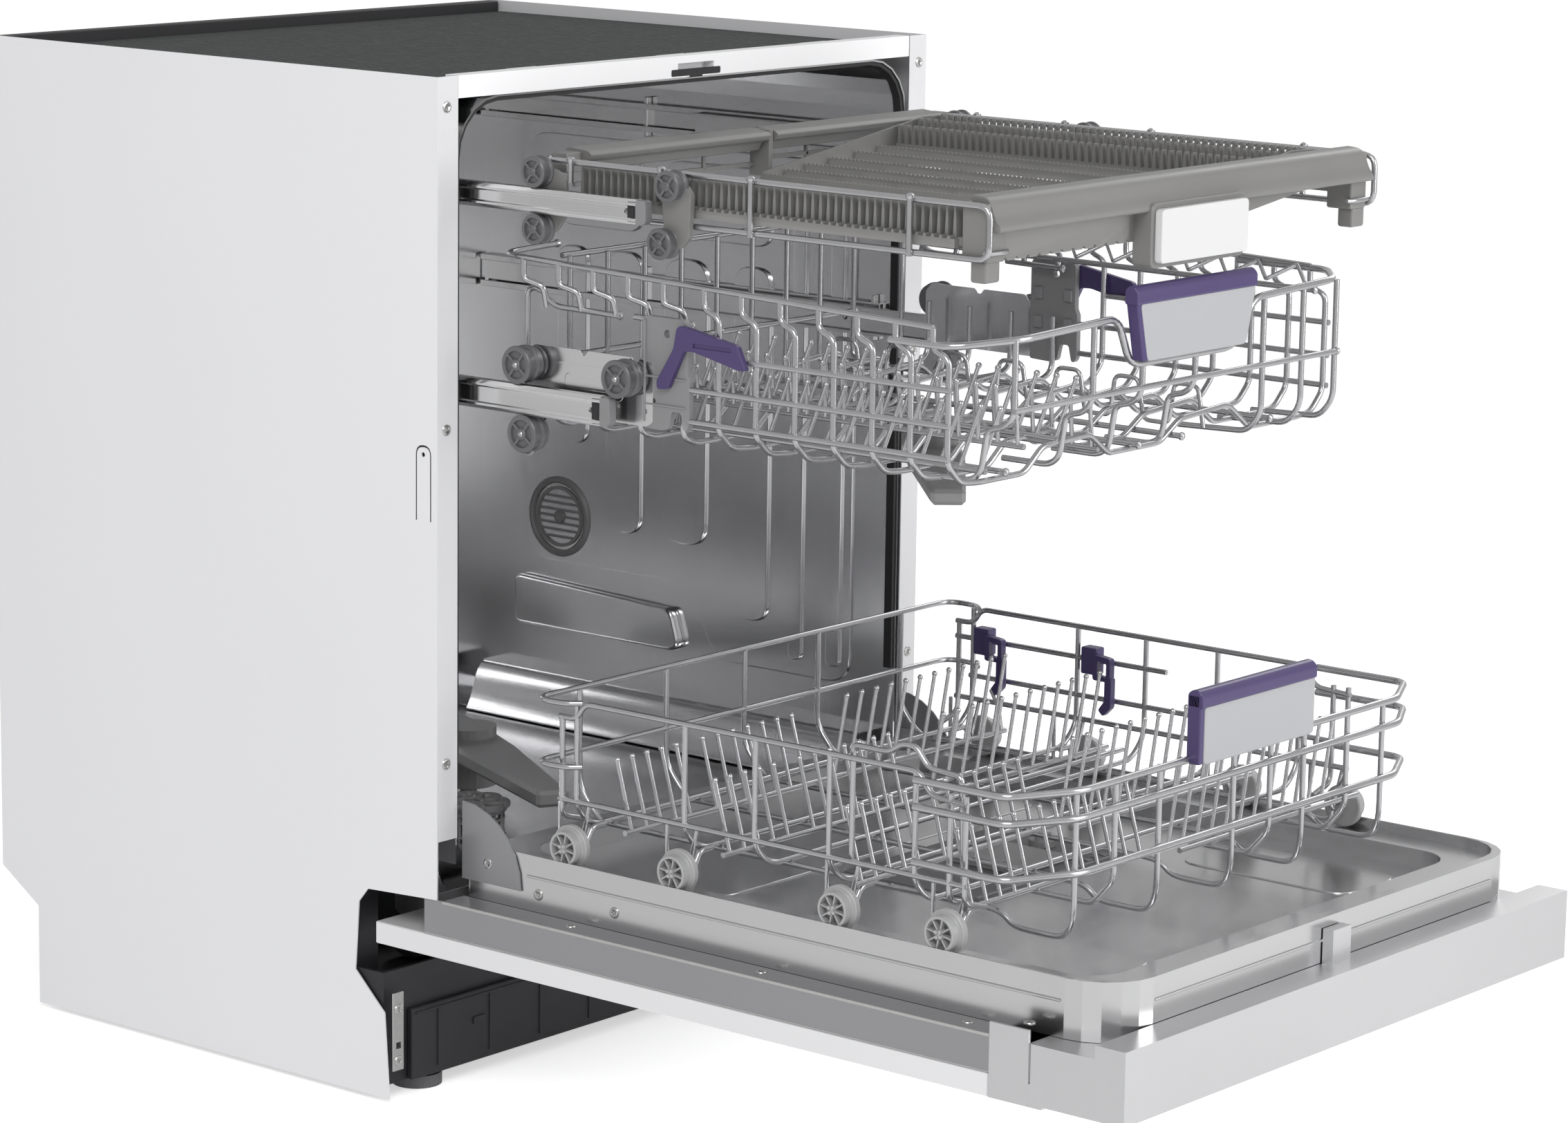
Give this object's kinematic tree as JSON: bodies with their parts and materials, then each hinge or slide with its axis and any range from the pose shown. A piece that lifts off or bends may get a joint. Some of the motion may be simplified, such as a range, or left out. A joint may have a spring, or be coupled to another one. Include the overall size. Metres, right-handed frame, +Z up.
{
  "type": "semi-integrated dishwasher",
  "caption": "Semi-integrated dishwasher with the door open flat, wire racks and cutlery tray pulled out on telescopic rails.",
  "frame": {"origin": "centre of the bounding box's bottom face, on the floor", "axes": "+Z up; -Y is the front, where the open door reaches; +X is to the right of someone standing behind the cabinet's left-right line and facing its back"},
  "size_m": [0.598, 1.16, 0.815],
  "materials": {
    "panel_paint": "light grey-white powder coat",
    "stainless": "satin stainless steel",
    "rail_steel": "bright rolled steel",
    "rack_wire": "silver-grey coated steel wire",
    "black_plastic": "matt black plastic",
    "grey_plastic": "matt warm grey plastic",
    "dark_grey_plastic": "matt dark grey plastic",
    "light_grey_plastic": "satin light grey plastic",
    "violet_plastic": "satin violet plastic",
    "seal_rubber": "dark rubber",
    "bitumen_felt": "dark green-black felted bitumen",
    "door_paint": "mid-grey painted steel",
    "decor_white": "white coated board",
    "fascia_metal": "silver metallic lacquer",
    "cast_iron": "rough cast iron",
    "glossy_black": "glossy black plastic"
  },
  "bodies": {
    "cabinet": {"side_panel_left": "panel_paint", "side_panel_right": "panel_paint", "base_tray": "black_plastic", "plinth_cover": "black_plastic", "rear_frame": "black_plastic", "top_mat": "bitumen_felt", "front_rail": "stainless", "tub": "stainless", "door_seal": "seal_rubber", "sump": "dark_grey_plastic", "filter_plate": "stainless", "wall_vent": "dark_grey_plastic", "ballast_block": "cast_iron", "circulation_pump": "dark_grey_plastic", "foot_front_left": "dark_grey_plastic", "foot_front_right": "dark_grey_plastic", "foot_rear": "dark_grey_plastic", "upper_guide_left": "rail_steel", "upper_guide_right": "rail_steel", "tray_guide_left": "rail_steel", "tray_guide_right": "rail_steel"},
    "door": {"door_frame": "door_paint", "door_liner": "stainless", "decor_panel": "decor_white", "control_fascia": "fascia_metal", "hinge_arm_left": "stainless", "hinge_arm_right": "stainless", "dispenser_body": "grey_plastic"},
    "lower_rack_unit": {"lower_rack": "rack_wire", "lower_rack_handle": "light_grey_plastic"},
    "upper_rack_unit": {"upper_rack": "rack_wire", "upper_rack_handle": "light_grey_plastic", "height_bracket_left": "dark_grey_plastic", "height_bracket_right": "dark_grey_plastic"},
    "cutlery_tray_unit": {"cutlery_tray": "grey_plastic", "tray_insert": "grey_plastic", "tray_handle": "light_grey_plastic"},
    "dispenser_lid_body": {"dispenser_lid": "light_grey_plastic"},
    "rinse_cap_body": {"rinse_aid_cap": "light_grey_plastic"},
    "power_button_body": {"power_button": "glossy_black"},
    "start_button_body": {"start_button": "glossy_black"},
    "tine_row_body": {"lower_tine_row": "rack_wire"},
    "lower_arm": {"lower_spray_arm": "grey_plastic"},
    "top_arm": {"top_spray_arm": "grey_plastic"},
    "upper_arm": {"upper_spray_arm": "grey_plastic"},
    "filter_body": {"coarse_filter": "grey_plastic"},
    "lever_left": {"height_lever_left": "violet_plastic"},
    "lever_right": {"height_lever_right": "violet_plastic"},
    "upper_rail_l": {"upper_rail_left": "rail_steel"},
    "upper_rail_r": {"upper_rail_right": "rail_steel"},
    "tray_rail_l": {"tray_rail_left": "rail_steel"},
    "tray_rail_r": {"tray_rail_right": "rail_steel"},
    "wheel_left_1_body": {"wheel_left_1": "light_grey_plastic"},
    "wheel_left_2_body": {"wheel_left_2": "light_grey_plastic"},
    "wheel_left_3_body": {"wheel_left_3": "light_grey_plastic"},
    "wheel_left_4_body": {"wheel_left_4": "light_grey_plastic"},
    "wheel_right_1_body": {"wheel_right_1": "light_grey_plastic"},
    "wheel_right_2_body": {"wheel_right_2": "light_grey_plastic"},
    "wheel_right_3_body": {"wheel_right_3": "light_grey_plastic"},
    "wheel_right_4_body": {"wheel_right_4": "light_grey_plastic"}
  },
  "joints": [
    {"name": "door_hinge", "type": "hinge", "parent": "cabinet", "child": "door", "pos_m": [0, 0.0565, 0.1755], "axis": [-1, 0, 0], "range_deg": [0, 12]},
    {"name": "lower_rack_slide", "type": "slide", "parent": "door", "child": "lower_rack_unit", "axis": [0, -1, 0], "range_m": [-0.55, 0]},
    {"name": "upper_rack_slide", "type": "slide", "parent": "cabinet", "child": "upper_rack_unit", "axis": [0, -1, 0], "range_m": [-0.49, 0]},
    {"name": "cutlery_tray_slide", "type": "slide", "parent": "cabinet", "child": "cutlery_tray_unit", "axis": [0, -1, 0], "range_m": [-0.495, 0]},
    {"name": "upper_rail_l_slide", "type": "slide", "parent": "cabinet", "child": "upper_rail_l", "axis": [0, -1, 0], "range_m": [-0.2215, 0.0005]},
    {"name": "upper_rail_r_slide", "type": "slide", "parent": "cabinet", "child": "upper_rail_r", "axis": [0, -1, 0], "range_m": [-0.2215, 0.0005]},
    {"name": "tray_rail_l_slide", "type": "slide", "parent": "cabinet", "child": "tray_rail_l", "axis": [0, -1, 0], "range_m": [-0.2238, 0.0005]},
    {"name": "tray_rail_r_slide", "type": "slide", "parent": "cabinet", "child": "tray_rail_r", "axis": [0, -1, 0], "range_m": [-0.2238, 0.0005]},
    {"name": "lower_arm_spin", "type": "hinge", "parent": "cabinet", "child": "lower_arm", "pos_m": [0, 0.323, 0.21], "axis": [0, 0, 1], "continuous": true},
    {"name": "top_arm_spin", "type": "hinge", "parent": "cabinet", "child": "top_arm", "pos_m": [0, 0.323, 0.775], "axis": [0, 0, 1], "continuous": true},
    {"name": "upper_arm_spin", "type": "hinge", "parent": "upper_rack_unit", "child": "upper_arm", "pos_m": [0, -0.1715, 0.523], "axis": [0, 0, 1], "continuous": true},
    {"name": "filter_twist", "type": "hinge", "parent": "cabinet", "child": "filter_body", "pos_m": [-0.11, 0.217, 0.15], "axis": [0, 0, 1], "range_deg": [0, 60]},
    {"name": "dispenser_lid_slide", "type": "slide", "parent": "door", "child": "dispenser_lid_body", "axis": [-1, 0, 0], "range_m": [0, 0.055]},
    {"name": "rinse_cap_twist", "type": "hinge", "parent": "door", "child": "rinse_cap_body", "pos_m": [0.084, -0.225, 0.2006], "axis": [0, 0, 1], "range_deg": [0, 90]},
    {"name": "power_button_press", "type": "slide", "parent": "door", "child": "power_button_body", "axis": [0, 0, 1], "range_m": [0, 0.0015], "stiffness_N_per_m": 250, "springref_m": -0.001},
    {"name": "start_button_press", "type": "slide", "parent": "door", "child": "start_button_body", "axis": [0, 0, 1], "range_m": [0, 0.0015], "stiffness_N_per_m": 250, "springref_m": -0.001},
    {"name": "tine_row_fold", "type": "hinge", "parent": "lower_rack_unit", "child": "tine_row_body", "pos_m": [0.12, -0.072, 0.2464], "axis": [1, 0, 0], "range_deg": [0, 85]},
    {"name": "lever_left_press", "type": "hinge", "parent": "upper_rack_unit", "child": "lever_left", "pos_m": [-0.2494, -0.152, 0.635], "axis": [-1, 0, 0], "range_deg": [0, 18], "stiffness_Nm_per_rad": 0.3, "springref_deg": -5.73},
    {"name": "lever_right_press", "type": "hinge", "parent": "upper_rack_unit", "child": "lever_right", "pos_m": [0.2494, -0.152, 0.635], "axis": [-1, 0, 0], "range_deg": [0, 18], "stiffness_Nm_per_rad": 0.3, "springref_deg": -5.73},
    {"name": "wheel_left_1_spin", "type": "hinge", "parent": "lower_rack_unit", "child": "wheel_left_1_body", "pos_m": [-0.263, -0.394, 0.23], "axis": [1, 0, 0], "continuous": true},
    {"name": "wheel_left_2_spin", "type": "hinge", "parent": "lower_rack_unit", "child": "wheel_left_2_body", "pos_m": [-0.263, -0.295, 0.23], "axis": [1, 0, 0], "continuous": true},
    {"name": "wheel_left_3_spin", "type": "hinge", "parent": "lower_rack_unit", "child": "wheel_left_3_body", "pos_m": [-0.263, -0.139, 0.23], "axis": [1, 0, 0], "continuous": true},
    {"name": "wheel_left_4_spin", "type": "hinge", "parent": "lower_rack_unit", "child": "wheel_left_4_body", "pos_m": [-0.263, -0.03, 0.23], "axis": [1, 0, 0], "continuous": true},
    {"name": "wheel_right_1_spin", "type": "hinge", "parent": "lower_rack_unit", "child": "wheel_right_1_body", "pos_m": [0.263, -0.394, 0.23], "axis": [1, 0, 0], "continuous": true},
    {"name": "wheel_right_2_spin", "type": "hinge", "parent": "lower_rack_unit", "child": "wheel_right_2_body", "pos_m": [0.263, -0.295, 0.23], "axis": [1, 0, 0], "continuous": true},
    {"name": "wheel_right_3_spin", "type": "hinge", "parent": "lower_rack_unit", "child": "wheel_right_3_body", "pos_m": [0.263, -0.139, 0.23], "axis": [1, 0, 0], "continuous": true},
    {"name": "wheel_right_4_spin", "type": "hinge", "parent": "lower_rack_unit", "child": "wheel_right_4_body", "pos_m": [0.263, -0.03, 0.23], "axis": [1, 0, 0], "continuous": true}
  ],
  "couplings": [
    {"joint": "upper_rail_l_slide", "follows": "upper_rack_slide", "ratio": 0.45},
    {"joint": "upper_rail_r_slide", "follows": "upper_rack_slide", "ratio": 0.45},
    {"joint": "tray_rail_l_slide", "follows": "cutlery_tray_slide", "ratio": 0.45},
    {"joint": "tray_rail_r_slide", "follows": "cutlery_tray_slide", "ratio": 0.45}
  ]
}
